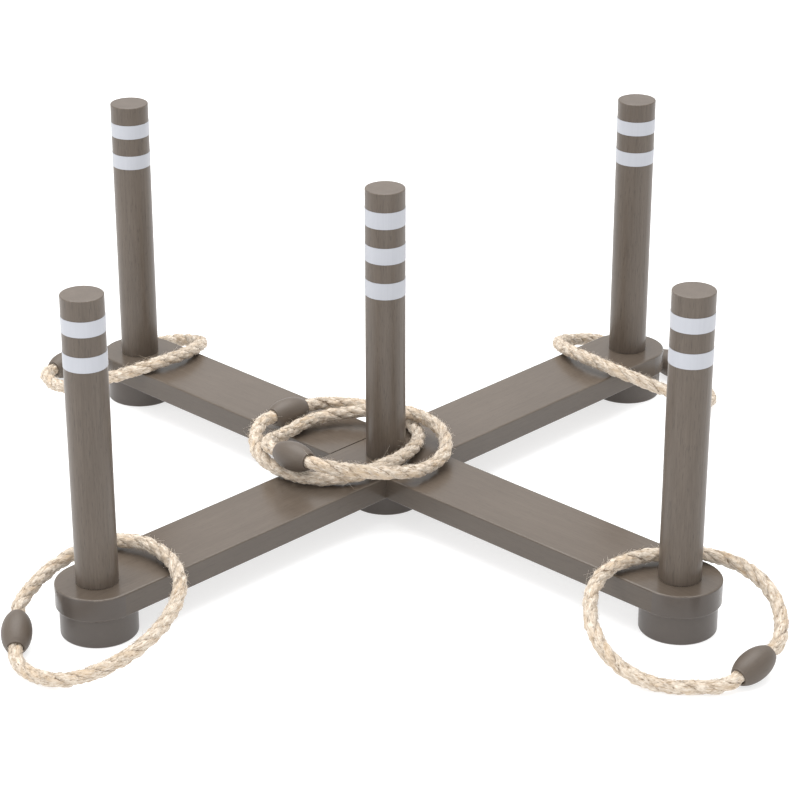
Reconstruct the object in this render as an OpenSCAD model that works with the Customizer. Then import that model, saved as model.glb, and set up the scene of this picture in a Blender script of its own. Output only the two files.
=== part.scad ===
// Ring toss set: a cross of two lapped boards with five pegs, and six rope rings with olive beads.
// Millimetres, +Z up. The origin is the middle of the cross, on the ground.
// The lower board runs along X and the upper board along Y. Front is -Y and right is +X.

/* [Cross] */
// Distance from the middle peg to each outer peg
peg_spacing = 275; // [260:5:290]
// Width of both boards
board_w = 58; // [54:1:60]
// Thickness of both boards
board_t = 17; // [15:1:19]
// Radius of the eased board edges
board_edge = 1.2; // [0.6:0.2:2]
// Gap on each side of a board in the other board's notch
lap_gap = 0.05; // [0.05:0.05:0.3]

/* [Feet] */
// Diameter of each foot
foot_d = 53; // [46:1:56]
// Height of each foot
foot_h = 21; // [18:1:24]
// Radius of the foot's lower edge
foot_edge = 1.5; // [0.5:0.5:3]

/* [Pegs] */
// Diameter of each peg
peg_d = 29; // [27:0.5:32]
// Height of each peg above the boards
peg_h = 206; // [190:1:220]
// Radius of the peg's top edge
peg_edge = 0.8; // [0.4:0.2:1.6]

/* [White bands] */
// Thickness of each band
band_t = 0.2; // [0.1:0.1:0.5]
// Distance from the peg's top to the first band
band_drop = 14; // [8:1:20]
// Height of each band on the outer pegs
band_h = 10.7; // [8:0.1:14]
// Distance from one band to the next on the outer pegs
band_pitch = 24.5; // [20:0.5:30]
// Height of each band on the middle peg
center_band_h = 12.3; // [8:0.1:14]
// Distance from one band to the next on the middle peg
center_band_pitch = 26.5; // [20:0.5:30]

/* [Rings] */
// Diameter of the rope
rope_d = 9; // [8:0.5:9.5]
// Diameter of the bead at its middle
bead_d = 21; // [19:0.5:21]
// Length of the bead
bead_l = 31; // [28:1:34]
// Diameter of the bead's end faces
bead_mouth_d = 12.4; // [11:0.2:14]

/* [Fasteners] */
// Diameter of the bolts
bolt_d = 6; // [5:1:6]
// Length of the bolts under their heads
bolt_l = 50; // [46:1:54]
// Gap round a bolt in its threaded insert
thread_gap = 0.05; // [0.02:0.01:0.1]

/* [Hidden] */
PLACES = ["front", "right", "back", "left", "center"];
ROPES = ["front", "right", "back", "left", "center_low", "center_top"];
LOWER_PLACES = ["right", "left", "center"];
UPPER_PLACES = ["front", "back"];
function names(stem, list) = [for (item = list) str(stem, item)];

paint = [0.45, 0.42, 0.39];
white = [0.86, 0.87, 0.90];
natural = [0.88, 0.81, 0.71];
brass = [0.78, 0.62, 0.32];
steel = [0.62, 0.63, 0.65];

$fn = 96;
// How far a cutting shape reaches past the face that it cuts
cut = 1;
// Height of the boards' tops above the ground
deck = foot_h + board_t;
// Depth of each board's notch
lap_t = board_t / 2;
foot_top_edge = 0.5;
peg_foot_edge = 0.4;

// Fasteners, in proportion to the bolt: its low head with a hexagon socket, washer and insert
bolt_hole_d = bolt_d + 0.6;
head_d = bolt_d * 1.8;
head_h = bolt_d * 0.65;
head_edge = 0.5;
socket_d = bolt_d;
socket_h = head_h * 0.6;
tip_chamfer = 0.8;
tip_room = 2;
washer_d = bolt_d * 2.3;
washer_t = 1.2;
counterbore_d = washer_d + 2;
counterbore_h = 9;
head_top = counterbore_h - washer_t;
bolt_tip = head_top + bolt_l;
insert_d = bolt_d + 4;
insert_l = 15;
flange_d = insert_d + 3;
flange_t = 1.5;

// Rope tube: sides round the rope, and rings of points from one point of the route to the next
rope_sides = 10;
rope_steps = 2;
// Each rope end stops this far from the middle of its bead
rope_end_gap = 0.5;
// Gap between the rope and the bead's bore
rope_gap = 0.1;
// Points along a bead's outline
bead_steps = 16;

// Where each ring's rope leaves its bead, the way round and where it enters again,
// measured from the axis of its own peg and from the ground
ROUTE_FRONT = [
    [-6, -67, 7], [18, -75, 5], [46, -68, 8], [64, -47, 16], [69, -20, 24], [63, 7, 31], [48, 31, 38],
    [24, 45, 44], [-5, 47, 46], [-30, 35, 43], [-46, 13, 34], [-47, -14, 25], [-34, -42, 17]
];
ROUTE_RIGHT = [
    [81, -4, 15], [69, 21, 23], [46, 37, 32], [19, 38, 40], [-6, 25, 44], [-24, 2, 45], [-34, -25, 44],
    [-31, -52, 38], [-14, -73, 25], [10, -82, 13], [38, -79, 6], [62, -64, 5], [80, -41, 8]
];
ROUTE_BACK = [
    [-10, 46, 14], [-35, 34, 19], [-51, 12, 26], [-52, -16, 33], [-38, -39, 41], [-13, -52, 46],
    [15, -56, 47], [43, -50, 42], [65, -34, 32], [77, -11, 20], [73, 15, 9], [54, 36, 5], [28, 47, 9]
];
ROUTE_LEFT = [
    [-67, -39, 12], [-45, -57, 15], [-18, -64, 21], [8, -59, 31], [30, -42, 40], [42, -17, 45],
    [43, 12, 45], [31, 37, 41], [9, 53, 32], [-18, 57, 24], [-43, 48, 16], [-63, 27, 10], [-73, -2, 10]
];
ROUTE_CENTER_LOW = [
    [-87, -35, 50], [-78, -56, 49], [-57, -75, 46], [-30, -82, 44], [-2, -75, 43], [18, -55, 44],
    [26, -28, 47], [22, 1, 46], [8, 26, 44], [-15, 42, 43], [-44, 45, 43], [-70, 33, 45], [-86, 3, 48]
];
ROUTE_CENTER_TOP = [
    [6, -81, 60], [28, -63, 55], [44, -38, 50], [50, -11, 46], [43, 17, 47], [22, 36, 51], [-6, 41, 53],
    [-33, 33, 51], [-55, 16, 48], [-68, -9, 46], [-68, -38, 44], [-57, -64, 50], [-31, -81, 58]
];

// The axis of the peg at a place
function spot(place) =
    place == "front" ? [0, -peg_spacing, 0] :
    place == "right" ? [peg_spacing, 0, 0] :
    place == "back" ? [0, peg_spacing, 0] :
    place == "left" ? [-peg_spacing, 0, 0] : [0, 0, 0];

// The route of a ring's rope, in the frame of the whole set
function route(ring) =
    ring == "center_low" ? ROUTE_CENTER_LOW :
    ring == "center_top" ? ROUTE_CENTER_TOP :
    [for (point = outer_route(ring)) point + spot(ring)];

function outer_route(ring) =
    ring == "front" ? ROUTE_FRONT :
    ring == "right" ? ROUTE_RIGHT :
    ring == "back" ? ROUTE_BACK : ROUTE_LEFT;

function unit(v) = v / norm(v);
function last(list) = list[len(list) - 1];
function bead_middle(way) = (way[0] + last(way)) / 2;
function bead_axis(way) = unit(way[0] - last(way));

// How fast and which way the rope runs through a point: straight out of the bead at both ends
function pull(way, i) =
    i == 0 ? bead_axis(way) * norm(way[1] - way[0]) :
    i == len(way) - 1 ? bead_axis(way) * norm(way[i] - way[i - 1]) :
    (way[i + 1] - way[i - 1]) / 2;

// A point on the smooth curve from one point of the route to the next
function along(a, b, pull_a, pull_b, t) =
    a * (2 * pow(t, 3) - 3 * pow(t, 2) + 1) + pull_a * (pow(t, 3) - 2 * pow(t, 2) + t)
    + b * (3 * pow(t, 2) - 2 * pow(t, 3)) + pull_b * (pow(t, 3) - pow(t, 2));

// The rope's centreline, from the middle of the bead all the way round to the middle of the bead
function centreline(way) = concat(
    [bead_middle(way) + bead_axis(way) * rope_end_gap],
    [for (i = [0 : len(way) - 2], step = [0 : rope_steps - 1])
        along(way[i], way[i + 1], pull(way, i), pull(way, i + 1), step / rope_steps)],
    [last(way), bead_middle(way) - bead_axis(way) * rope_end_gap]
);

// The direction of the centreline at each of its points; the stubs in the bead lie on its axis
function heading(line, i) =
    i <= 1 ? unit(line[1] - line[0]) :
    i >= len(line) - 2 ? unit(last(line) - line[len(line) - 2]) :
    unit(line[i + 1] - line[i - 1]);

// One ring of points round the rope, square to its direction
function rope_section(middle, forward, radius) =
    let (side = unit(cross([0, 0, 1], forward)), up = cross(forward, side))
    [for (k = [0 : rope_sides - 1])
        middle + radius * (side * cos(360 * k / rope_sides) + up * sin(360 * k / rope_sides))];

// A disc with eased edges, its underside at z = 0
module eased_disc(radius, height, bottom_edge, top_edge) {
    rotate_extrude() intersection() {
        eased_outline(radius * 2, height, bottom_edge, top_edge);
        square([radius + cut, height]);
    }
}

// A rectangle with round corners, centred on x = 0 and standing on y = 0
module eased_outline(width, height, bottom_edge, top_edge) {
    translate([-width / 2, bottom_edge]) square([width, height - bottom_edge - top_edge]);
    translate([bottom_edge - width / 2, 0]) square([width - 2 * bottom_edge, height - top_edge]);
    translate([top_edge - width / 2, bottom_edge]) square([width - 2 * top_edge, height - bottom_edge]);
    for (side = [-1, 1]) {
        translate([side * (width / 2 - bottom_edge), bottom_edge]) circle(bottom_edge);
        translate([side * (width / 2 - top_edge), height - top_edge]) circle(top_edge);
    }
}

// A whole board along X with round ends, before its notch and holes
module plain_board() {
    translate([-peg_spacing, 0, 0]) rotate([90, 0, 90]) linear_extrude(2 * peg_spacing)
        eased_outline(board_w, board_t, board_edge, board_edge);
    for (side = [-1, 1]) translate([side * peg_spacing, 0, 0])
        eased_disc(board_w / 2, board_t, board_edge, board_edge);
}

// The bolt holes through a board along X
module board_holes() {
    for (side = [-1, 0, 1]) translate([side * peg_spacing, 0, -cut])
        cylinder(d = bolt_hole_d, h = board_t + 2 * cut);
}

// The space that the crossing board takes in a board along X
module notch() {
    notch_w = board_w + 2 * lap_gap;
    translate([-notch_w / 2, -board_w, 0]) cube([notch_w, 2 * board_w, board_t]);
}

module lower_board() {
    color(paint) translate([0, 0, foot_h]) difference() {
        plain_board();
        board_holes();
        translate([0, 0, board_t - lap_t]) notch();
    }
}

module upper_board() {
    color(paint) translate([0, 0, foot_h]) rotate(90) difference() {
        plain_board();
        board_holes();
        translate([0, 0, -lap_t]) notch();
    }
}

module foot(place) {
    color(paint) translate(spot(place)) difference() {
        eased_disc(foot_d / 2, foot_h, foot_edge, foot_top_edge);
        translate([0, 0, -cut]) cylinder(d = bolt_hole_d, h = foot_h + 2 * cut);
        translate([0, 0, -cut]) cylinder(d = counterbore_d, h = counterbore_h + cut);
    }
}

// A peg with a blind hole in its foot for the insert and the bolt's tip
module peg(place) {
    color(paint) translate(spot(place) + [0, 0, deck]) difference() {
        eased_disc(peg_d / 2, peg_h, peg_foot_edge, peg_edge);
        translate([0, 0, -cut]) cylinder(d = flange_d, h = flange_t + cut);
        translate([0, 0, -cut]) cylinder(d = insert_d, h = insert_l + cut);
        translate([0, 0, -cut]) cylinder(d = bolt_hole_d, h = bolt_tip - deck + tip_room + cut);
    }
}

// The white bands on a peg, counted down from its top
module bands(place) {
    center = place == "center";
    count = center ? 3 : 2;
    height = center ? center_band_h : band_h;
    pitch = center ? center_band_pitch : band_pitch;
    color(white) for (i = [0 : count - 1])
        translate(spot(place) + [0, 0, deck + peg_h - band_drop - height - i * pitch]) difference() {
            cylinder(d = peg_d + 2 * band_t, h = height);
            translate([0, 0, -cut]) cylinder(d = peg_d, h = height + 2 * cut);
        }
}

// A flanged threaded insert in the foot of a peg; the thread is left plain
module insert(place) {
    color(brass) translate(spot(place) + [0, 0, deck]) difference() {
        union() {
            cylinder(d = flange_d, h = flange_t);
            cylinder(d = insert_d, h = insert_l);
        }
        translate([0, 0, -cut]) cylinder(d = bolt_d + 2 * thread_gap, h = insert_l + 2 * cut);
    }
}

// A bolt standing in a foot, board and peg; the thread is left plain
module bolt() {
    translate([0, 0, head_top - head_h]) difference() {
        eased_disc(head_d / 2, head_h, head_edge, head_edge);
        translate([0, 0, -cut]) cylinder(d = socket_d, h = socket_h + cut, $fn = 6);
    }
    translate([0, 0, head_top]) cylinder(d = bolt_d, h = bolt_l - tip_chamfer);
    translate([0, 0, bolt_tip - tip_chamfer])
        cylinder(d1 = bolt_d, d2 = bolt_d - 2 * tip_chamfer, h = tip_chamfer);
}

module washer() {
    translate([0, 0, head_top]) difference() {
        cylinder(d = washer_d, h = washer_t);
        translate([0, 0, -cut]) cylinder(d = bolt_hole_d, h = washer_t + 2 * cut);
    }
}

module bolts(places) {
    color(steel) for (place = places) translate(spot(place)) bolt();
}

module washers(places) {
    color(steel) for (place = places) translate(spot(place)) washer();
}

// The rope of one ring: a tube whose two ends meet in the middle of the bead
module rope(ring) {
    line = centreline(route(ring));
    count = len(line);
    points = [for (i = [0 : count - 1]) each rope_section(line[i], heading(line, i), rope_d / 2)];
    walls = [for (i = [0 : count - 2], k = [0 : rope_sides - 1])
        let (next = (k + 1) % rope_sides, here = i * rope_sides, ahead = (i + 1) * rope_sides)
        [here + k, ahead + k, ahead + next, here + next]];
    start = [for (k = [0 : rope_sides - 1]) k];
    finish = [for (k = [rope_sides - 1 : -1 : 0]) (count - 1) * rope_sides + k];
    color(natural) polyhedron(points, concat([start, finish], walls), convexity = 6);
}

// An olive: the middle part of an ellipse turned round the rope
module bead(ring) {
    way = route(ring);
    axis = bead_axis(way);
    // The ellipse's half length, from the bead's width at its middle and at its mouths
    half = bead_l / 2 / sqrt(1 - pow(bead_mouth_d / bead_d, 2));
    side = [for (i = [0 : bead_steps]) let (z = bead_l * (i / bead_steps - 0.5))
        [bead_d / 2 * sqrt(1 - pow(z / half, 2)), z]];
    hole = rope_d / 2 + rope_gap;
    color(paint) translate(bead_middle(way)) rotate([0, acos(axis.z), atan2(axis.y, axis.x)])
        rotate_extrude() polygon(concat(side, [[hole, bead_l / 2], [hole, -bead_l / 2]]));
}

lower_board();
upper_board();
for (place = PLACES) foot(place);
for (place = PLACES) peg(place);
for (place = PLACES) bands(place);
for (place = PLACES) insert(place);
bolts(LOWER_PLACES);  // bolts_lower
bolts(UPPER_PLACES);  // bolts_upper
washers(LOWER_PLACES);  // washers_lower
washers(UPPER_PLACES);  // washers_upper
for (ring = ROPES) rope(ring);
for (ring = ROPES) bead(ring);
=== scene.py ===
"""Ring toss set: the looks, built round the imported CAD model.

Everything is in metres in the frame of the set. The origin is the middle of the cross on the ground, +X runs
along the lower board to the right peg, +Y along the upper board to the back peg, and +Z is up.
"""

import math

import bpy
import numpy as np
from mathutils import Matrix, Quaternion, Vector


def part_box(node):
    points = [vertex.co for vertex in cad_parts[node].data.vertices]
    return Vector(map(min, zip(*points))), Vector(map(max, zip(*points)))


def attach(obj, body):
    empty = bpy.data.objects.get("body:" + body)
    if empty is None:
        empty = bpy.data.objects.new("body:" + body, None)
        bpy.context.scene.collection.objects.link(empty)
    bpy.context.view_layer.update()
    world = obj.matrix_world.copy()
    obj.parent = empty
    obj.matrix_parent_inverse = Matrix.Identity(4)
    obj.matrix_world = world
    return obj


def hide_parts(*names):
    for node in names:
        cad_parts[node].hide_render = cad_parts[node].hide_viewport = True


MM = 0.001

# The camera: where it looks, from which side, how far away, its roll, its lens and how far that is shifted
LOOK_AT = Vector((0.0522, -0.0883, 0.0876))
AZIMUTH = math.radians(45.39)
ELEVATION = math.radians(25.37)
CAMERA_DISTANCE = 1.855
CAMERA_ROLL = math.radians(-0.51)
SENSOR_MM = 36
LENS_MM = 122.2
LENS_SHIFT = (0.057, 0.070)

# The rope: three strands laid right-handed, each of a few yarns that twist the other way. It is a little
# fuller than its nominal diameter. A yarn is 1 high on its crown and 0 in its grooves, and about MEAN_CROWN
# on average.
ROPE_D = 9 * MM
ROPE_END_GAP = 0.5 * MM
STRANDS = 3
STRAND_LAY = 38 * MM
STRAND_R = 2.75 * MM
STRAND_FLATTENING = 1.14
FULLNESS = 0.35 * MM
YARNS = 5
YARN_LAY = 30 * MM
YARN_RIDGE = 0.30 * MM
MEAN_CROWN = 0.6
TUFT_HEIGHT = 0.18 * MM

# The rope's texture: how far apart the strands take it, and how much deeper than its crown a groove counts
STRAND_TEXTURE_STEP = 0.5
GROOVE_DEPTH = 0.08

# Lumps on a strand: how high, how far apart along it and at most how many round it
LUMP_HEIGHT = 0.28 * MM
LUMP_SPACING = (3 * MM, 14 * MM)
MOST_LUMPS_ROUND = 4

# How unevenly a strand is laid, each as the most it strays and the length over which it does: its turn round
# the rope in radians, its thickness as a share, and its distance from the rope's middle
TURN_STRAYS = (0.3, 50 * MM)
THICKNESS_STRAYS = (0.09, 24 * MM)
DISTANCE_STRAYS = (0.22 * MM, 20 * MM)

# How finely a rope is drawn: steps between two points of its route, the distance between two rings of
# points, and the points round a strand
ROUTE_STEPS = 16
RING_STEP = 0.6 * MM
STRAND_SIDES = 26

# The hairs on a rope, many short ones and a few long ones: how many, how long in millimetres, and how much
# they lean away from the rope
SHORT_HAIRS = 3600
SHORT_HAIR_MM = (1.5, 5.0)
SHORT_HAIR_LEAN = (0.0, 0.8)
LONG_HAIRS = 60
LONG_HAIR_MM = (7, 16)
LONG_HAIR_LEAN = (0.12, 0.42)
HAIR_RADIUS_MM = (0.05, 0.12)
HAIR_TAPER = 0.6
HAIR_ROOT_DEPTH = 0.2 * MM
HAIR_CLEAR_OF_GROUND = 0.3 * MM
HAIR_RINGS = 7
HAIR_SIDES = 3

# The beads: olives whose bore opens into a small funnel at each mouth
BEAD_D = 21 * MM
BEAD_LENGTH = 31 * MM
BEAD_MOUTH_D = 12.4 * MM
BEAD_BORE_R = 4.6 * MM
BEAD_LIP_R = 0.4 * MM
BEAD_FUNNEL_R = 1.1 * MM
BEAD_SIDES = 72
BEAD_ROWS = 49
LIP_ROWS = 5
FUNNEL_ROWS = 8

# Colours of the paint, the white bands, the rope and the single hairs on it
PAINT_DARK = (0.074, 0.057, 0.0435, 1)
PAINT_LIGHT = (0.112, 0.089, 0.070, 1)
# The pore colour also serves as painted shade that darkens the upright faces
PAINT_PORE_AND_SIDE_SHADE = (0.036, 0.030, 0.025, 1)
PAINT_END_GRAIN = (0.073, 0.061, 0.053, 1)
# The next colour is a painted highlight along the eased edges
PAINT_EDGE_HIGHLIGHT = (0.19, 0.165, 0.14, 1)
BAND_DARK = (0.36, 0.37, 0.405, 1)
BAND_LIGHT = (0.435, 0.447, 0.482, 1)
ROPE_DARK = (0.36, 0.27, 0.186, 1)
ROPE_LIGHT = (0.655, 0.588, 0.503, 1)
ROPE_TAN = (0.47, 0.345, 0.22, 1)
ROPE_GAP = (0.22, 0.16, 0.10, 1)
# The next colour is painted shade in the hollows where two strands meet
ROPE_CREASE_SHADE = (0.15, 0.098, 0.06, 1)
ROPE_SPECK = (0.10, 0.06, 0.03, 1)
HAIR_DARK = (0.50, 0.41, 0.30, 1)
HAIR_LIGHT = (0.74, 0.68, 0.60, 1)
HAIR_BROWN = (0.20, 0.13, 0.08, 1)
BRASS_DULL = (0.60, 0.42, 0.18, 1)
BRASS_BRIGHT = (0.80, 0.62, 0.30, 1)
ZINC_DULL = (0.42, 0.43, 0.45, 1)
ZINC_BRIGHT = (0.68, 0.69, 0.71, 1)

# The floor: how far it reaches, its grey and how much it glows
FLOOR_REACH = 20
FLOOR_GREY = 0.48
FLOOR_GLOW = 0.65

# Where each ring's rope leaves its bead, the way round and where it enters again, in millimetres from the
# foot of its own peg's axis: the same points as in the CAD part
ROUTES_MM = {
    "front": [
        (-6, -67, 7), (18, -75, 5), (46, -68, 8), (64, -47, 16), (69, -20, 24), (63, 7, 31), (48, 31, 38),
        (24, 45, 44), (-5, 47, 46), (-30, 35, 43), (-46, 13, 34), (-47, -14, 25), (-34, -42, 17),
    ],
    "right": [
        (81, -4, 15), (69, 21, 23), (46, 37, 32), (19, 38, 40), (-6, 25, 44), (-24, 2, 45), (-34, -25, 44),
        (-31, -52, 38), (-14, -73, 25), (10, -82, 13), (38, -79, 6), (62, -64, 5), (80, -41, 8),
    ],
    "back": [
        (-10, 46, 14), (-35, 34, 19), (-51, 12, 26), (-52, -16, 33), (-38, -39, 41), (-13, -52, 46),
        (15, -56, 47), (43, -50, 42), (65, -34, 32), (77, -11, 20), (73, 15, 9), (54, 36, 5), (28, 47, 9),
    ],
    "left": [
        (-67, -39, 12), (-45, -57, 15), (-18, -64, 21), (8, -59, 31), (30, -42, 40), (42, -17, 45),
        (43, 12, 45), (31, 37, 41), (9, 53, 32), (-18, 57, 24), (-43, 48, 16), (-63, 27, 10), (-73, -2, 10),
    ],
    "center_low": [
        (-87, -35, 50), (-78, -56, 49), (-57, -75, 46), (-30, -82, 44), (-2, -75, 43), (18, -55, 44),
        (26, -28, 47), (22, 1, 46), (8, 26, 44), (-15, 42, 43), (-44, 45, 43), (-70, 33, 45), (-86, 3, 48),
    ],
    "center_top": [
        (6, -81, 60), (28, -63, 55), (44, -38, 50), (50, -11, 46), (43, 17, 47), (22, 36, 51), (-6, 41, 53),
        (-33, 33, 51), (-55, 16, 48), (-68, -9, 46), (-68, -38, 44), (-57, -64, 50), (-31, -81, 58),
    ],
}

PLACES = ("front", "right", "back", "left", "center")


# ---------------------------------------------------------------- small helpers


def unit(v):
    """The vectors at length 1, one row each."""
    return v / np.linalg.norm(v, axis=-1, keepdims=True)


def make_mesh(name, points, faces, smooth=True, attributes=()):
    """A new mesh object. attributes are (name, kind, one value for each point)."""
    mesh = bpy.data.meshes.new(name)
    mesh.from_pydata(points.tolist(), [], faces)
    mesh.update()
    mesh.polygons.foreach_set("use_smooth", [smooth] * len(mesh.polygons))
    for attribute, kind, values in attributes:
        layer = mesh.attributes.new(attribute, kind, "POINT")
        field = "vector" if kind == "FLOAT_VECTOR" else "value"
        layer.data.foreach_set(field, np.asarray(values, np.float32).ravel())
    made = bpy.data.objects.new(name, mesh)
    bpy.context.scene.collection.objects.link(made)
    return made


def tube_faces(rings, sides, first=0, capped=True):
    """The faces of a tube whose points are numbered ring by ring, with flat caps on its two ends."""
    faces = []
    for i in range(rings - 1):
        here = first + i * sides
        for k in range(sides):
            after = (k + 1) % sides
            faces.append((here + k, here + after, here + sides + after, here + sides + k))
    if capped:
        faces.append(tuple(first + k for k in reversed(range(sides))))
        faces.append(tuple(first + (rings - 1) * sides + k for k in range(sides)))
    return faces


def wander(rng, along, most, wavelength, waves=5):
    """A smooth random curve along a line that strays from 0 by about most."""
    total = np.zeros_like(along)
    for _ in range(waves):
        stretched = wavelength * rng.uniform(0.6, 1.8)
        total += rng.uniform(0.5, 1.0) * np.sin(2 * np.pi * (along / stretched + rng.random()))
    # The waves seldom peak together, so that the sum needs enlarging
    return most * (total / waves * 1.4)


def lumps(rng, along, angle, waves=9):
    """A smooth random height all over a strand, from the place along the rope and the angle round it."""
    total = np.zeros_like(angle)
    for _ in range(waves):
        times_round = rng.integers(0, MOST_LUMPS_ROUND + 1)
        lengthwise = along / rng.uniform(*LUMP_SPACING) + rng.random()
        total += np.sin(2 * np.pi * lengthwise[:, None] + times_round * angle)
    return LUMP_HEIGHT * total / math.sqrt(waves)


# ---------------------------------------------------------------- camera


def add_camera():
    """The camera, aimed from its azimuth and elevation and then rolled."""
    towards_camera = Vector((
        math.sin(AZIMUTH) * math.cos(ELEVATION),
        -math.cos(AZIMUTH) * math.cos(ELEVATION),
        math.sin(ELEVATION),
    ))
    data = bpy.data.cameras.new("camera")
    data.lens = LENS_MM
    data.sensor_width = SENSOR_MM
    data.shift_x, data.shift_y = LENS_SHIFT
    camera = bpy.data.objects.new("camera", data)
    camera.location = LOOK_AT + CAMERA_DISTANCE * towards_camera
    upright = towards_camera.to_track_quat("Z", "Y")
    camera.rotation_euler = (upright @ Quaternion((0, 0, 1), CAMERA_ROLL)).to_euler()
    bpy.context.scene.collection.objects.link(camera)
    bpy.context.scene.camera = camera


# ---------------------------------------------------------------- rope rings


def peg_place(ring):
    """The foot of the axis of the peg that a ring lies round."""
    low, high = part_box("peg_" + ring.split("_")[0])
    return np.array([(low.x + high.x) / 2, (low.y + high.y) / 2, 0])


def centreline(way):
    """The rope's centreline, from the middle of the bead all the way round to the middle of the bead.

    Returns its points, evenly spaced, and how far along the rope each one is.
    """
    steps = np.linspace(0, 1, ROUTE_STEPS, endpoint=False)[:, None]
    middle = (way[0] + way[-1]) / 2
    axis = unit(way[0] - way[-1])
    pull = np.empty_like(way)
    pull[1:-1] = (way[2:] - way[:-2]) / 2
    pull[0] = axis * np.linalg.norm(way[1] - way[0])
    pull[-1] = axis * np.linalg.norm(way[-1] - way[-2])
    curve = [
        way[i] * (2 * steps**3 - 3 * steps**2 + 1)
        + pull[i] * (steps**3 - 2 * steps**2 + steps)
        + way[i + 1] * (3 * steps**2 - 2 * steps**3)
        + pull[i + 1] * (steps**3 - steps**2)
        for i in range(len(way) - 1)
    ]
    start = [middle + axis * ROPE_END_GAP]
    finish = [way[-1], middle - axis * ROPE_END_GAP]
    rough = np.concatenate([start, *curve, finish])
    along = np.concatenate([[0], np.cumsum(np.linalg.norm(np.diff(rough, axis=0), axis=1))])
    even = np.linspace(0, along[-1], round(along[-1] / RING_STEP) + 1)
    line = np.stack([np.interp(even, along, rough[:, k]) for k in range(3)], axis=1)
    return line, even


def across(line):
    """A line's direction at each point, and two directions square to it that turn as little as they can."""
    forward = unit(np.gradient(line, axis=0))
    side = np.empty_like(line)
    side[0] = unit(np.cross((0, 0, 1), forward[0]))
    for i in range(1, len(line)):
        side[i] = unit(side[i - 1] - forward[i] * (side[i - 1] @ forward[i]))
    return forward, side, np.cross(forward, side)


def lay_strand(number, line, along, rng):
    """One strand of a rope, with ridges of yarn and an uneven thickness, as rings of points.

    Returns the points, where the fibre's texture is taken at each, and how deep in the rope each lies.
    """
    _, side, up = across(line)
    angle = np.linspace(0, 2 * np.pi, STRAND_SIDES, endpoint=False)
    turn = 2 * np.pi * (along / STRAND_LAY + number / STRANDS) + wander(rng, along, *TURN_STRAYS)
    out = side * np.cos(turn)[:, None] + up * np.sin(turn)[:, None]
    radius = STRAND_R * (1 + wander(rng, along, *THICKNESS_STRAYS))
    away = ROPE_D / 2 + FULLNESS - STRAND_R + wander(rng, along, *DISTANCE_STRAYS)
    middle = line + out * away[:, None]
    ahead = unit(np.gradient(middle, axis=0))
    out = unit(out - ahead * (out * ahead).sum(1, keepdims=True))
    over = np.cross(ahead, out)

    # The yarns turn round the strand. A yarn's crown is 1, and the groove between two yarns is 0.
    yarn = angle[None, :] + 2 * np.pi * (along / YARN_LAY)[:, None] + rng.uniform(0, 6)
    crown = np.abs(np.cos(YARNS / 2 * yarn))
    ridge = YARN_RIDGE * (crown - MEAN_CROWN)
    tufts = TUFT_HEIGHT * rng.uniform(-1, 1, ridge.shape)
    reach = radius[:, None] + ridge + lumps(rng, along, yarn) + (tufts + np.roll(tufts, 1, axis=0)) / 2
    points = (
        middle[:, None, :]
        + out[:, None, :] * (reach * np.cos(angle))[:, :, None]
        + over[:, None, :] * (STRAND_FLATTENING * reach * np.sin(angle))[:, :, None]
    )
    # Where the rope lies on the ground, it is pressed flat
    points[:, :, 2] = np.maximum(points[:, :, 2], 0)

    # The texture runs along the strand and round it, and each strand has its own stretch of it
    lengthwise = np.repeat(along[:, None] + number * STRAND_TEXTURE_STEP, STRAND_SIDES, axis=1)
    fibre = np.stack([lengthwise, STRAND_R * np.cos(yarn), STRAND_R * np.sin(yarn)], axis=2)
    # The depth is 0 on the outside of the rope and 1 at its middle, and a little more in the grooves
    depth = (1 - np.cos(angle))[None, :] / 2 + (1 - crown) * GROOVE_DEPTH
    return points.reshape(-1, 3), fibre.reshape(-1, 3), depth.ravel()


def add_rope(ring, line, along, rng):
    """Three strands laid round the centreline."""
    faces = []
    strands = []
    for number in range(STRANDS):
        strands.append(lay_strand(number, line, along, rng))
        faces += tube_faces(len(line), STRAND_SIDES, first=number * len(line) * STRAND_SIDES)
    points, fibre, depth = (np.concatenate(values) for values in zip(*strands))
    return make_mesh(
        f"rope_ring_{ring}",
        points,
        faces,
        attributes=[("fibre", "FLOAT_VECTOR", fibre), ("depth", "FLOAT", depth)],
    )


def hair_tube(hair, radius):
    """The points of a thin tube round a hair, ring by ring, with its tip thinner than its root."""
    ahead = unit(np.gradient(hair, axis=0))
    first = unit(np.cross(ahead, (0.3, 0.2, 1)))
    second = np.cross(ahead, first)
    points = []
    for i, share in enumerate(np.linspace(0, 1, HAIR_RINGS)):
        thin = radius * (1 - HAIR_TAPER * share)
        for corner in range(HAIR_SIDES):
            turn = 2 * math.pi * corner / HAIR_SIDES
            points.append(hair[i] + thin * (first[i] * math.cos(turn) + second[i] * math.sin(turn)))
    return points


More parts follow.
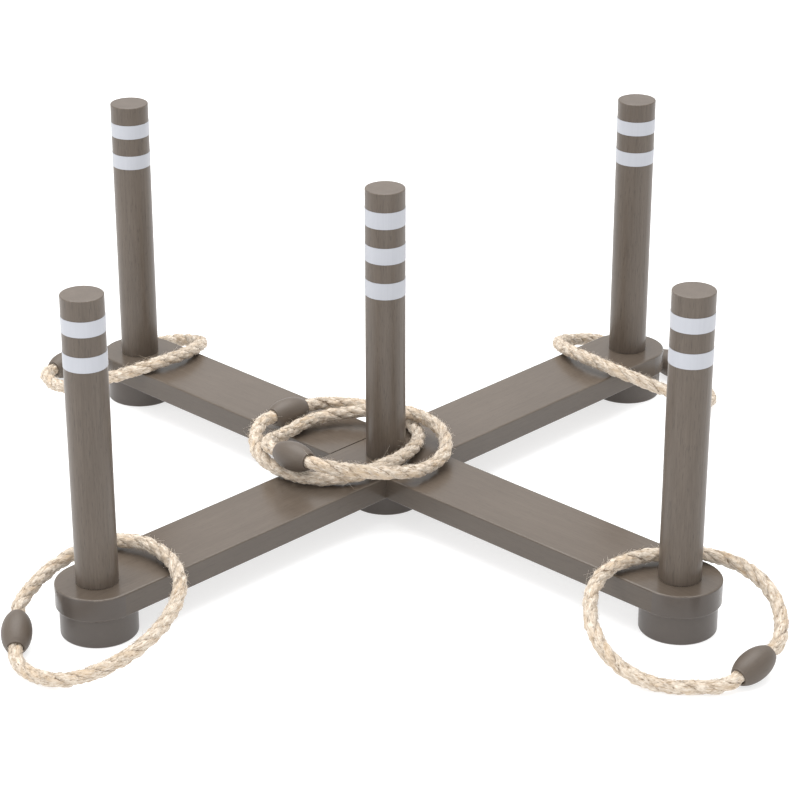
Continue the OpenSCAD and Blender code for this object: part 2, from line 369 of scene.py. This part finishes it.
def add_stray_fibres(ring, line, rng):
    """Hairs that stand out of the rope: many short ones and a few long ones."""
    forward, side, up = across(line)
    in_bead = round(BEAD_LENGTH / 2 / RING_STEP)
    t = np.linspace(0, 1, HAIR_RINGS)[:, None]
    points, shades, faces = [], [], []
    for number in range(SHORT_HAIRS + LONG_HAIRS):
        is_long = number >= SHORT_HAIRS
        i = rng.integers(in_bead, len(line) - in_bead)
        turn = rng.uniform(0, 2 * np.pi)
        out = side[i] * np.cos(turn) + up[i] * np.sin(turn)
        if out[2] < -0.3:
            out = -out  # no hairs under the rope
        round_rope = np.cross(forward[i], out)
        run = rng.choice((-1, 1)) * forward[i]
        length = rng.uniform(*(LONG_HAIR_MM if is_long else SHORT_HAIR_MM)) * MM
        lean = rng.uniform(*(LONG_HAIR_LEAN if is_long else SHORT_HAIR_LEAN))
        heading = unit(run + out * lean + round_rope * rng.uniform(-0.5, 0.5))
        curl = out * rng.uniform(-0.45, 0.3) + round_rope * rng.uniform(-0.4, 0.4)
        hair = line[i] + out * (ROPE_D / 2 - HAIR_ROOT_DEPTH) + length * (heading * t + curl * t**2)
        hair[:, 2] = np.maximum(hair[:, 2], HAIR_CLEAR_OF_GROUND)
        points += hair_tube(hair, rng.uniform(*HAIR_RADIUS_MM) * MM)
        shades += [rng.random()] * HAIR_RINGS * HAIR_SIDES
        faces += tube_faces(HAIR_RINGS, HAIR_SIDES, first=number * HAIR_RINGS * HAIR_SIDES)
    return make_mesh(
        f"stray_fibres_{ring}", np.array(points), faces, attributes=[("shade", "FLOAT", shades)]
    )


def bead_profile():
    """A bead's outline as (radius, height): its round side, and a lip and a funnel at each mouth."""
    half = BEAD_LENGTH / 2 / math.sqrt(1 - (BEAD_MOUTH_D / BEAD_D) ** 2)
    body_end = BEAD_LENGTH / 2 - BEAD_LIP_R
    body = [
        (BEAD_D / 2 * math.sqrt(1 - (height / half) ** 2), height)
        for height in np.linspace(-body_end, body_end, BEAD_ROWS)
    ]
    rim = body[-1][0] - BEAD_LIP_R
    lip = [
        (rim + BEAD_LIP_R * math.cos(a), body_end + BEAD_LIP_R * math.sin(a))
        for a in np.linspace(0, math.pi / 2, LIP_ROWS + 1)[1:]
    ]
    inner = BEAD_BORE_R + BEAD_FUNNEL_R
    funnel = [
        (inner + BEAD_FUNNEL_R * math.cos(a), BEAD_LENGTH / 2 - BEAD_FUNNEL_R * (1 - math.sin(a)))
        for a in np.linspace(math.pi / 2, math.pi, FUNNEL_ROWS)
    ]
    top = lip + funnel
    bottom = [(radius, -height) for radius, height in reversed(top)]
    return np.array(body + top + bottom)


def add_bead(ring, middle, axis):
    """An olive turned round the rope, hollow all through."""
    profile = bead_profile()
    radius = profile[:, 0:1]
    height = profile[:, 1:2]
    turn = np.linspace(0, 2 * np.pi, BEAD_SIDES, endpoint=False)
    side = unit(np.cross((0, 0, 1), axis))
    over = np.cross(axis, side)
    spokes = side * np.cos(turn)[:, None] + over * np.sin(turn)[:, None]
    points = middle + axis * height[:, :, None] + spokes * radius[:, :, None]
    # Where the paint's texture is taken: the grain runs along the bead and differs from bead to bead
    grain = np.stack(
        [
            np.repeat(height, BEAD_SIDES, axis=1) + middle[0],
            radius * np.cos(turn) + middle[1],
            radius * np.sin(turn),
        ],
        axis=2,
    )
    faces = tube_faces(len(profile), BEAD_SIDES, capped=False)
    last = (len(profile) - 1) * BEAD_SIDES
    for k in range(BEAD_SIDES):
        after = (k + 1) % BEAD_SIDES
        faces.append((last + k, last + after, after, k))
    return make_mesh(
        f"olive_bead_{ring}",
        points.reshape(-1, 3),
        faces,
        attributes=[("grain", "FLOAT_VECTOR", grain.reshape(-1, 3))],
    )


def add_ring(ring, seed):
    """One ring: its rope, the hairs on it and its bead, all riding on the ring's body."""
    rng = np.random.default_rng(seed)
    way = np.array(ROUTES_MM[ring]) * MM + peg_place(ring)
    line, along = centreline(way)
    middle = (way[0] + way[-1]) / 2
    axis = unit(way[0] - way[-1])
    rope = add_rope(ring, line, along, rng)
    fibres = add_stray_fibres(ring, line, rng)
    bead = add_bead(ring, middle, axis)
    for piece in (rope, fibres, bead):
        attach(piece, "ring_" + ring)
    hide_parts("rope_" + ring)
    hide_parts("bead_" + ring)
    return rope, fibres, bead


# ---------------------------------------------------------------- materials


def new_material(name):
    """A new material, its node tree and its Principled shader."""
    material = bpy.data.materials.new(name)
    material.use_nodes = True
    return material, material.node_tree, material.node_tree.nodes["Principled BSDF"]


def add(tree, kind, inputs=(), **settings):
    """Adds a node. inputs maps a socket's name or number to a value or to another node's output."""
    made = tree.nodes.new("ShaderNode" + kind)
    for name, value in settings.items():
        setattr(made, name, value)
    for key, value in dict(inputs).items():
        if isinstance(value, bpy.types.NodeSocket):
            tree.links.new(value, made.inputs[key])
        else:
            made.inputs[key].default_value = value
    return made


def calc(tree, operation, a, b=0.0, c=0.0):
    """One step of arithmetic on numbers or sockets."""
    return add(tree, "Math", {0: a, 1: b, 2: c}, operation=operation).outputs[0]


def swing(tree, value, most):
    """A noise moved to lie round 0, from -most / 2 to most / 2."""
    return calc(tree, "MULTIPLY_ADD", value, most, -most / 2)


def stretch(tree, value, low, high, to_low=0.0, to_high=1.0):
    """A smooth step from to_low to to_high while the value goes from low to high."""
    made = add(
        tree,
        "MapRange",
        {"Value": value, "From Min": low, "From Max": high, "To Min": to_low, "To Max": to_high},
        interpolation_type="SMOOTHSTEP",
    )
    return made.outputs[0]


def blend_colors(tree, share, a, b):
    """Two colours mixed by a share from 0 to 1."""
    return add(tree, "Mix", {0: share, 6: a, 7: b}, data_type="RGBA").outputs[2]


def bump(tree, height, strength, distance):
    """A normal that rises and falls with a height."""
    return add(tree, "Bump", {"Strength": strength, "Distance": distance, "Height": height}).outputs[0]


def attribute(tree, name, output="Fac"):
    """A value that the mesh carries at each point."""
    return add(tree, "Attribute", attribute_name=name).outputs[output]


def object_place(tree):
    """Where a point is on its object, in metres."""
    return add(tree, "TexCoord").outputs["Object"]


def noise(tree, vector, scale, detail=2.0, roughness=0.5):
    """A noise from 0 to 1. scale is its number of waves in a metre, one for all axes or one for each."""
    if isinstance(scale, tuple):
        vector = add(tree, "VectorMath", {0: vector, 1: scale}, operation="MULTIPLY").outputs[0]
        scale = 1.0
    inputs = {"Vector": vector, "Scale": scale, "Detail": detail, "Roughness": roughness}
    return add(tree, "TexNoise", inputs).outputs["Fac"]


def along_axis(axis, along, across_it):
    """Noise scales that draw the pattern out along one axis."""
    return tuple(along if k == axis else across_it for k in range(3))


def painted_wood(name, axis, place_from=None, gloss=0.2, figure=1.0, painted_side_shade=0.0, end_from=None):
    """Grey-brown satin paint over straight-grained wood that runs along an axis.

    place_from names the attribute that places the grain, if it isn't the place on the object. figure is the
    grain's strength, and the side-shade argument darkens the upright faces with painted shade. From end_from
    outwards along the axis they are end grain.
    """
    material, tree, shader = new_material(name)
    place = attribute(tree, place_from, "Vector") if place_from else object_place(tree)
    bands = noise(tree, place, along_axis(axis, 5, 150), detail=2)
    streaks = noise(tree, place, along_axis(axis, 45, 800), detail=3, roughness=0.6)
    pores = noise(tree, place, along_axis(axis, 140, 1500), detail=1)
    clouds = noise(tree, place, 14.0, detail=2)
    tone = calc(tree, "ADD", swing(tree, bands, 0.9), swing(tree, streaks, 1.3))
    tone = calc(tree, "MULTIPLY", tone, figure)
    tone = calc(tree, "ADD", tone, swing(tree, clouds, 0.7))
    tone = calc(tree, "ADD", tone, 0.5)
    paint = blend_colors(tree, tone, PAINT_DARK, PAINT_LIGHT)
    pits = stretch(tree, pores, 0.42, 0.28)
    paint = blend_colors(tree, calc(tree, "MULTIPLY", pits, 0.4 * figure), paint, PAINT_PORE_AND_SIDE_SHADE)
    normal = add(tree, "NewGeometry").outputs["Normal"]
    upward = add(tree, "SeparateXYZ", {0: normal}).outputs[2]
    on_side = stretch(tree, calc(tree, "ABSOLUTE", upward), 0.7, 0.3)
    # Painted shade: the upright faces are drawn darker, by the side-shade share
    paint = blend_colors(tree, calc(tree, "MULTIPLY", on_side, painted_side_shade), paint, PAINT_PORE_AND_SIDE_SHADE)
    if end_from is not None:
        # End grain soaks up more paint and looks smoother and greyer
        outwards = calc(tree, "ABSOLUTE", add(tree, "SeparateXYZ", {0: place}).outputs[axis])
        at_end = stretch(tree, outwards, end_from - 0.4 * MM, end_from + 0.4 * MM)
        paint = blend_colors(tree, calc(tree, "MULTIPLY", at_end, on_side), paint, PAINT_END_GRAIN)
    if place_from is None:
        # A painted highlight lightens the eased edges, where a face leans between level and upright
        slope = calc(tree, "MULTIPLY", upward, upward)
        edge = calc(tree, "MULTIPLY", slope, calc(tree, "SUBTRACT", 1.0, slope))
        edge_highlight = calc(tree, "MULTIPLY", stretch(tree, edge, 0.08, 0.25), stretch(tree, streaks, 0.35, 0.7))
        paint = blend_colors(tree, calc(tree, "MULTIPLY", edge_highlight, 0.15), paint, PAINT_EDGE_HIGHLIGHT)
    rough = calc(tree, "MULTIPLY_ADD", streaks, 0.3 * gloss, 0.75 * gloss)
    rough = calc(tree, "MULTIPLY_ADD", clouds, 0.2 * gloss, rough)
    height = calc(tree, "MULTIPLY_ADD", pits, -0.6, streaks)
    tree.links.new(paint, shader.inputs["Base Color"])
    tree.links.new(rough, shader.inputs["Roughness"])
    tree.links.new(bump(tree, height, 0.15 * figure, 0.1 * MM), shader.inputs["Normal"])
    shader.inputs["Specular IOR Level"].default_value = 0.42
    return material


def white_paint():
    """Satin white, a little cool, with the grain below just showing."""
    material, tree, shader = new_material("white_band")
    place = object_place(tree)
    streaks = noise(tree, place, (900, 900, 22), detail=3)
    clouds = noise(tree, place, 60.0)
    tone = calc(tree, "MULTIPLY_ADD", streaks, 0.6, calc(tree, "MULTIPLY", clouds, 0.4))
    tree.links.new(blend_colors(tree, tone, BAND_DARK, BAND_LIGHT), shader.inputs["Base Color"])
    tree.links.new(stretch(tree, streaks, 0.2, 0.8, 0.38, 0.5), shader.inputs["Roughness"])
    tree.links.new(bump(tree, streaks, 0.1, 0.1 * MM), shader.inputs["Normal"])
    return material


def rope_fibre():
    """Cream bast fibre: fine hairs along the yarns, painted brown shade in the hollows, with a few dark
    specks.
    """
    material, tree, shader = new_material("rope_fibre")
    place = attribute(tree, "fibre", "Vector")
    depth = attribute(tree, "depth")
    hairs = noise(tree, place, (450, 2200, 2200), detail=2, roughness=0.6)
    locks = noise(tree, place, (190, 850, 850), detail=3, roughness=0.65)
    gaps = noise(tree, place, (130, 1100, 1100), detail=1)
    clouds = noise(tree, place, (60, 170, 170), detail=3)
    specks = noise(tree, place, (330, 1200, 1200), detail=1)
    tone = calc(tree, "ADD", swing(tree, hairs, 2.4), swing(tree, locks, 2.6))
    tone = calc(tree, "ADD", tone, 0.62)
    cream = blend_colors(tree, tone, ROPE_DARK, ROPE_LIGHT)
    cream = blend_colors(tree, stretch(tree, clouds, 0.47, 0.68, 0.0, 0.5), cream, ROPE_TAN)
    # Thin shadows between locks of fibre
    apart = calc(tree, "ABSOLUTE", calc(tree, "SUBTRACT", gaps, 0.5))
    cream = blend_colors(tree, stretch(tree, apart, 0.025, 0.0, 0.0, 0.55), cream, ROPE_GAP)
    # Painted shade in dark broken lines where two strands meet
    broken = stretch(tree, locks, 0.38, 0.6, 0.2, 1.0)
    crease_shade = calc(tree, "MULTIPLY", stretch(tree, depth, 0.43, 0.52), broken)
    cream = blend_colors(tree, crease_shade, cream, ROPE_CREASE_SHADE)
    brown = calc(tree, "MULTIPLY", stretch(tree, specks, 0.68, 0.75), 0.85)
    cream = blend_colors(tree, brown, cream, ROPE_SPECK)
    height = calc(tree, "MULTIPLY_ADD", locks, 0.8, hairs)
    tree.links.new(cream, shader.inputs["Base Color"])
    tree.links.new(stretch(tree, hairs, 0.2, 0.8, 0.95, 0.7), shader.inputs["Roughness"])
    tree.links.new(bump(tree, height, 0.7, 0.25 * MM), shader.inputs["Normal"])
    shader.inputs["Specular IOR Level"].default_value = 0.3
    shader.inputs["Sheen Weight"].default_value = 0.15
    shader.inputs["Sheen Roughness"].default_value = 0.5
    return material


def loose_fibre():
    """The single hairs on the rope, most of them pale and a few brown."""
    material, tree, shader = new_material("loose_fibre")
    tone = noise(tree, object_place(tree), 220.0, detail=2)
    pale = blend_colors(tree, stretch(tree, tone, 0.3, 0.7), HAIR_DARK, HAIR_LIGHT)
    is_brown = stretch(tree, attribute(tree, "shade"), 0.72, 0.85)
    tree.links.new(blend_colors(tree, is_brown, pale, HAIR_BROWN), shader.inputs["Base Color"])
    tree.links.new(stretch(tree, tone, 0.2, 0.8, 0.5, 0.8), shader.inputs["Roughness"])
    return material


def turned_metal(name, dull, bright, rough):
    """Metal with fine turning marks and a slightly uneven tone."""
    material, tree, shader = new_material(name)
    place = object_place(tree)
    marks = noise(tree, place, (300, 300, 5000), detail=2)
    clouds = noise(tree, place, 180.0, detail=3)
    uneven = calc(tree, "MULTIPLY_ADD", marks, 0.5, calc(tree, "MULTIPLY", clouds, 0.5))
    tone = stretch(tree, uneven, 0.3, 0.7)
    tree.links.new(blend_colors(tree, tone, dull, bright), shader.inputs["Base Color"])
    tree.links.new(stretch(tree, tone, 0.0, 1.0, rough + 0.12, rough), shader.inputs["Roughness"])
    tree.links.new(bump(tree, marks, 0.2, 0.05 * MM), shader.inputs["Normal"])
    shader.inputs["Metallic"].default_value = 1.0
    return material


def dress(material, *nodes):
    """Gives CAD nodes a material."""
    for name in nodes:
        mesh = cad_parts[name].data
        mesh.materials.clear()
        mesh.materials.append(material)


def each(stem):
    """The names of the five nodes of one kind, one at each peg."""
    return [f"{stem}_{place}" for place in PLACES]


# ---------------------------------------------------------------- floor and light


def add_floor():
    """A plain pale floor that glows like a light table, so that the shadows on it stay pale."""
    signs = [(-1, -1), (1, -1), (1, 1), (-1, 1)]
    corners = np.array([(FLOOR_REACH * x, FLOOR_REACH * y, 0) for x, y in signs], float)
    floor = make_mesh("floor", corners, [(0, 1, 2, 3)], smooth=False)
    material, _, shader = new_material("floor")
    shader.inputs["Base Color"].default_value = (FLOOR_GREY, FLOOR_GREY, FLOOR_GREY, 1)
    shader.inputs["Roughness"].default_value = 0.9
    shader.inputs["Emission Color"].default_value = (1, 1, 1, 1)
    shader.inputs["Emission Strength"].default_value = FLOOR_GLOW
    floor.data.materials.append(material)


def add_soft_light(name, place, size, power, target=(0, 0, 0.1)):
    """A round studio light, its size in metres and its power in watts, that shines at a target."""
    data = bpy.data.lights.new(name, "AREA")
    data.shape = "DISK"
    data.size = size
    data.energy = power
    light = bpy.data.objects.new(name, data)
    light.location = place
    light.rotation_euler = (Vector(place) - Vector(target)).to_track_quat("Z", "Y").to_euler()
    bpy.context.scene.collection.objects.link(light)


def add_light():
    """A white surround and three soft lights."""
    world = bpy.data.worlds.new("studio")
    world.use_nodes = True
    background = world.node_tree.nodes["Background"]
    background.inputs["Color"].default_value = (1, 1, 1, 1)
    background.inputs["Strength"].default_value = 1.0
    bpy.context.scene.world = world
    add_soft_light("overhead", (-0.4, 0.2, 2.4), size=3.0, power=88)
    add_soft_light("key", (-0.6, -2.6, 1.6), size=1.2, power=18)
    add_soft_light("fill", (1.6, -1.6, 0.8), size=1.2, power=5, target=(0, 0, 0))
    bpy.context.scene.view_settings.view_transform = "Standard"


# ---------------------------------------------------------------- the set


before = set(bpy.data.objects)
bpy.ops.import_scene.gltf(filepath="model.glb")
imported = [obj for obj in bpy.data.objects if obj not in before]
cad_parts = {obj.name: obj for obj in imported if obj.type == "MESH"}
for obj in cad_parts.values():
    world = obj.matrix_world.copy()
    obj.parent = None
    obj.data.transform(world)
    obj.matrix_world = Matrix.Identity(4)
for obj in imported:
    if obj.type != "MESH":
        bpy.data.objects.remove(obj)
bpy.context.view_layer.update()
peg_spacing = peg_place("right")[0]
add_camera()

rope_material = rope_fibre()
fibre_material = loose_fibre()
bead_material = painted_wood("painted_bead", 0, place_from="grain", gloss=0.5, figure=0.4)
for seed, ring in enumerate(ROUTES_MM):
    rope, fibres, bead = add_ring(ring, seed)
    rope.data.materials.append(rope_material)
    fibres.data.materials.append(fibre_material)
    bead.data.materials.append(bead_material)

board_look = {"gloss": 0.24, "figure": 0.5, "painted_side_shade": 0.35, "end_from": peg_spacing}
dress(painted_wood("painted_lower_board", 0, **board_look), "lower_board")
dress(painted_wood("painted_upper_board", 1, **board_look), "upper_board")
dress(painted_wood("painted_peg", 2, gloss=0.36), *each("peg"))
dress(painted_wood("painted_foot", 2, gloss=0.3, figure=0.2, end_from=0), *each("foot"))
dress(white_paint(), *each("bands"))
dress(turned_metal("brass", BRASS_DULL, BRASS_BRIGHT, 0.28), *each("insert"))
dress(
    turned_metal("zinc", ZINC_DULL, ZINC_BRIGHT, 0.30),
    "bolts_lower",
    "bolts_upper",
    "washers_lower",
    "washers_upper",
)

add_floor()
add_light()
